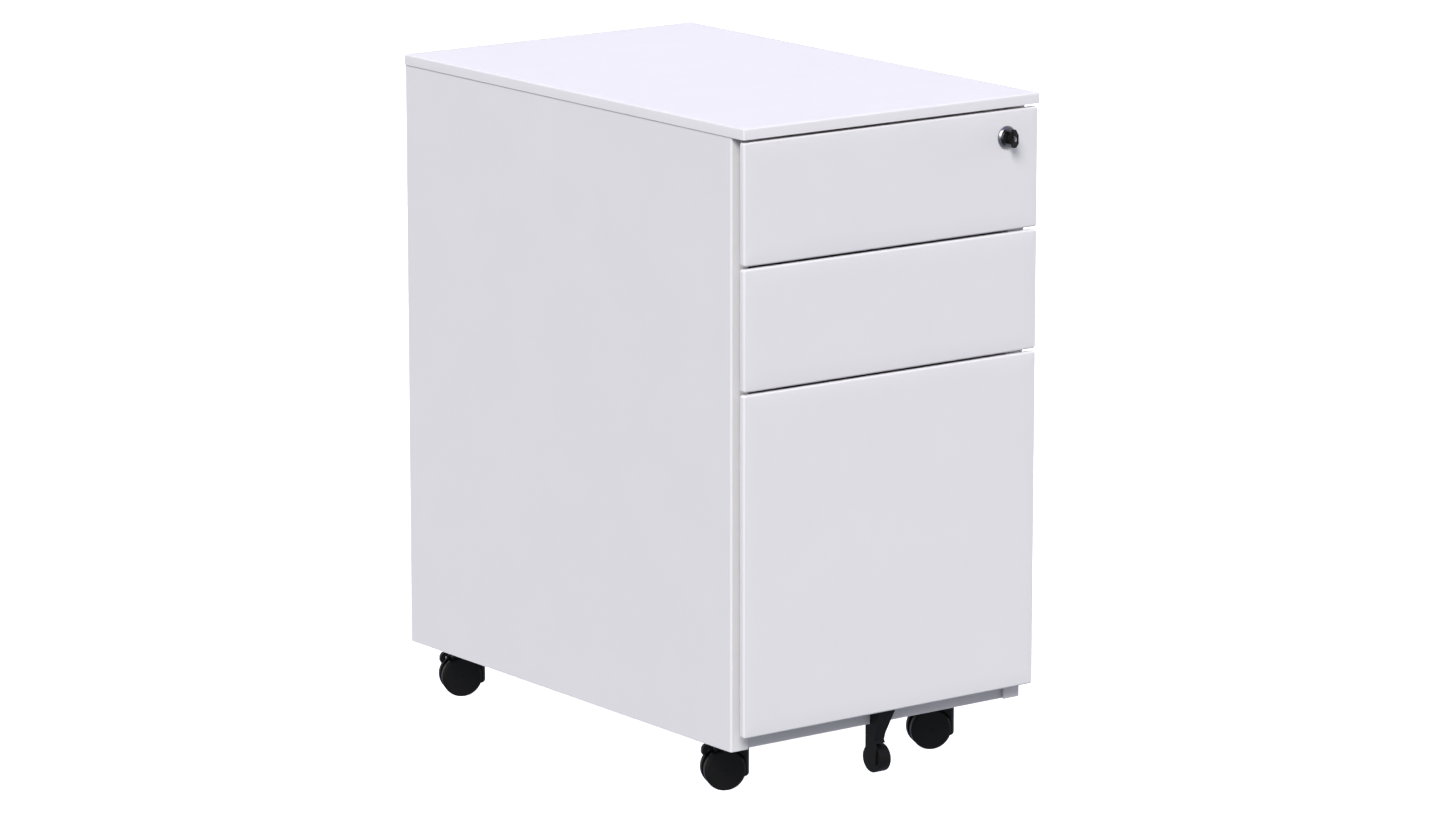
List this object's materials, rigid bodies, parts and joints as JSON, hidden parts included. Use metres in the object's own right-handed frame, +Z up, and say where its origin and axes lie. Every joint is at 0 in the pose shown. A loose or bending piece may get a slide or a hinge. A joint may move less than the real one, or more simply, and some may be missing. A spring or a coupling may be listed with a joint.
{
  "type": "under desk drawer pedestal",
  "caption": "Slim white steel mobile pedestal: stationery drawers over a filing drawer, keyed lock with a lifting lock bar, black twin-wheel castors and an anti-tilt wheel.",
  "frame": {"origin": "on the floor under the middle of the bounding box, which takes in the key", "axes": "+Z up, +X to the right seen from the front, drawers open towards -Y"},
  "size_m": [0.3, 0.4878, 0.5535],
  "materials": {
    "white_powder_coat": "fine satin powder coat",
    "zinc_steel": "bright zinc plated sheet",
    "black_plastic": "moulded nylon, low sheen",
    "dark_chrome": "black nickel plated zinc casting",
    "bright_steel": "turned and plated steel"
  },
  "bodies": {
    "cabinet": {"top_panel": "white_powder_coat", "left_side_panel": "white_powder_coat", "right_side_panel": "white_powder_coat", "back_panel": "white_powder_coat", "bottom_panel": "white_powder_coat", "front_bottom_rail": "white_powder_coat", "front_top_rail": "white_powder_coat", "top_slide_outer_left": "zinc_steel", "top_slide_outer_right": "zinc_steel", "middle_slide_outer_left": "zinc_steel", "middle_slide_outer_right": "zinc_steel", "file_slide_outer_left": "zinc_steel", "file_slide_outer_right": "zinc_steel", "castor_stem_front_left": "bright_steel", "castor_stem_front_right": "bright_steel", "castor_stem_rear_left": "bright_steel", "castor_stem_rear_right": "bright_steel"},
    "top_drawer": {"top_drawer_front": "white_powder_coat", "top_drawer_box": "white_powder_coat", "top_slide_inner_left": "zinc_steel", "top_slide_inner_right": "zinc_steel", "lock_barrel": "dark_chrome"},
    "middle_drawer": {"middle_drawer_front": "white_powder_coat", "middle_drawer_box": "white_powder_coat", "middle_slide_inner_left": "zinc_steel", "middle_slide_inner_right": "zinc_steel"},
    "file_drawer": {"file_drawer_front": "white_powder_coat", "file_drawer_box": "white_powder_coat", "file_slide_inner_left": "zinc_steel", "file_slide_inner_right": "zinc_steel", "file_rail_front": "zinc_steel", "file_rail_rear": "zinc_steel", "anti_tilt_arm": "black_plastic", "anti_tilt_axle": "bright_steel"},
    "key_and_plug": {"lock_plug": "dark_chrome", "lock_cam": "zinc_steel", "key_blade": "black_plastic"},
    "key_grip": {"key_bow": "black_plastic"},
    "anti_tilt_roller": {"anti_tilt_wheel": "black_plastic"},
    "locking_bar": {"lock_bar": "zinc_steel"},
    "castor_front_left": {"castor_housing_front_left": "black_plastic", "castor_axle_front_left": "bright_steel"},
    "wheel_front_left_inner": {"castor_wheel_front_left_inner": "black_plastic"},
    "wheel_front_left_outer": {"castor_wheel_front_left_outer": "black_plastic"},
    "brake_front_left": {"brake_pedal_front_left": "black_plastic"},
    "castor_front_right": {"castor_housing_front_right": "black_plastic", "castor_axle_front_right": "bright_steel"},
    "wheel_front_right_inner": {"castor_wheel_front_right_inner": "black_plastic"},
    "wheel_front_right_outer": {"castor_wheel_front_right_outer": "black_plastic"},
    "brake_front_right": {"brake_pedal_front_right": "black_plastic"},
    "castor_rear_left": {"castor_housing_rear_left": "black_plastic", "castor_axle_rear_left": "bright_steel"},
    "wheel_rear_left_inner": {"castor_wheel_rear_left_inner": "black_plastic"},
    "wheel_rear_left_outer": {"castor_wheel_rear_left_outer": "black_plastic"},
    "brake_rear_left": {"brake_pedal_rear_left": "black_plastic"},
    "castor_rear_right": {"castor_housing_rear_right": "black_plastic", "castor_axle_rear_right": "bright_steel"},
    "wheel_rear_right_inner": {"castor_wheel_rear_right_inner": "black_plastic"},
    "wheel_rear_right_outer": {"castor_wheel_rear_right_outer": "black_plastic"},
    "brake_rear_right": {"brake_pedal_rear_right": "black_plastic"}
  },
  "joints": [
    {"name": "top_drawer_slide", "type": "slide", "parent": "cabinet", "child": "top_drawer", "axis": [0, -1, 0], "range_m": [0, 0.32]},
    {"name": "middle_drawer_slide", "type": "slide", "parent": "cabinet", "child": "middle_drawer", "axis": [0, -1, 0], "range_m": [0, 0.32]},
    {"name": "file_drawer_slide", "type": "slide", "parent": "cabinet", "child": "file_drawer", "axis": [0, -1, 0], "range_m": [0, 0.34]},
    {"name": "key_turn", "type": "hinge", "parent": "top_drawer", "child": "key_and_plug", "pos_m": [0.1158, -0.23012, 0.52], "axis": [0, -1, 0], "range_deg": [0, 90]},
    {"name": "key_fold", "type": "hinge", "parent": "key_and_plug", "child": "key_grip", "pos_m": [0.1158, -0.23492, 0.52], "axis": [0, 0, 1], "range_deg": [-80, 80]},
    {"name": "lock_bar_lift", "type": "slide", "parent": "cabinet", "child": "locking_bar", "axis": [0, 0, 1], "range_m": [0, 0.008]},
    {"name": "anti_tilt_wheel_spin", "type": "hinge", "parent": "file_drawer", "child": "anti_tilt_roller", "pos_m": [0.0027, -0.20822, 0.0164], "axis": [1, 0, 0], "continuous": true},
    {"name": "castor_swivel_front_left", "type": "hinge", "parent": "cabinet", "child": "castor_front_left", "pos_m": [-0.1065, -0.16512, 0.04], "axis": [0, 0, 1], "continuous": true},
    {"name": "wheel_spin_front_left_inner", "type": "hinge", "parent": "castor_front_left", "child": "wheel_front_left_inner", "pos_m": [-0.11798, -0.16018, 0.0173], "axis": [0.3955, 0.9184, 0], "continuous": true},
    {"name": "wheel_spin_front_left_outer", "type": "hinge", "parent": "castor_front_left", "child": "wheel_front_left_outer", "pos_m": [-0.11798, -0.16018, 0.0173], "axis": [0.3955, 0.9184, 0], "continuous": true},
    {"name": "brake_lift_front_left", "type": "hinge", "parent": "castor_front_left", "child": "brake_front_left", "pos_m": [-0.12772, -0.15599, 0.0369], "axis": [0.3955, 0.9184, 0], "range_deg": [0, 22]},
    {"name": "castor_swivel_front_right", "type": "hinge", "parent": "cabinet", "child": "castor_front_right", "pos_m": [0.1065, -0.16512, 0.04], "axis": [0, 0, 1], "continuous": true},
    {"name": "wheel_spin_front_right_inner", "type": "hinge", "parent": "castor_front_right", "child": "wheel_front_right_inner", "pos_m": [0.09502, -0.16018, 0.0173], "axis": [0.3955, 0.9184, 0], "continuous": true},
    {"name": "wheel_spin_front_right_outer", "type": "hinge", "parent": "castor_front_right", "child": "wheel_front_right_outer", "pos_m": [0.09502, -0.16018, 0.0173], "axis": [0.3955, 0.9184, 0], "continuous": true},
    {"name": "brake_lift_front_right", "type": "hinge", "parent": "castor_front_right", "child": "brake_front_right", "pos_m": [0.08528, -0.15599, 0.0369], "axis": [0.3955, 0.9184, 0], "range_deg": [0, 22]},
    {"name": "castor_swivel_rear_left", "type": "hinge", "parent": "cabinet", "child": "castor_rear_left", "pos_m": [-0.1065, 0.20988, 0.04], "axis": [0, 0, 1], "continuous": true},
    {"name": "wheel_spin_rear_left_inner", "type": "hinge", "parent": "castor_rear_left", "child": "wheel_rear_left_inner", "pos_m": [-0.11798, 0.21482, 0.0173], "axis": [0.3955, 0.9184, 0], "continuous": true},
    {"name": "wheel_spin_rear_left_outer", "type": "hinge", "parent": "castor_rear_left", "child": "wheel_rear_left_outer", "pos_m": [-0.11798, 0.21482, 0.0173], "axis": [0.3955, 0.9184, 0], "continuous": true},
    {"name": "brake_lift_rear_left", "type": "hinge", "parent": "castor_rear_left", "child": "brake_rear_left", "pos_m": [-0.12772, 0.21901, 0.0369], "axis": [0.3955, 0.9184, 0], "range_deg": [0, 22]},
    {"name": "castor_swivel_rear_right", "type": "hinge", "parent": "cabinet", "child": "castor_rear_right", "pos_m": [0.1065, 0.20988, 0.04], "axis": [0, 0, 1], "continuous": true},
    {"name": "wheel_spin_rear_right_inner", "type": "hinge", "parent": "castor_rear_right", "child": "wheel_rear_right_inner", "pos_m": [0.09502, 0.21482, 0.0173], "axis": [0.3955, 0.9184, 0], "continuous": true},
    {"name": "wheel_spin_rear_right_outer", "type": "hinge", "parent": "castor_rear_right", "child": "wheel_rear_right_outer", "pos_m": [0.09502, 0.21482, 0.0173], "axis": [0.3955, 0.9184, 0], "continuous": true},
    {"name": "brake_lift_rear_right", "type": "hinge", "parent": "castor_rear_right", "child": "brake_rear_right", "pos_m": [0.08528, 0.21901, 0.0369], "axis": [0.3955, 0.9184, 0], "range_deg": [0, 22]}
  ],
  "couplings": [
    {"joint": "key_turn", "follows": "lock_bar_lift", "rad_per_m": 196.34}
  ]
}
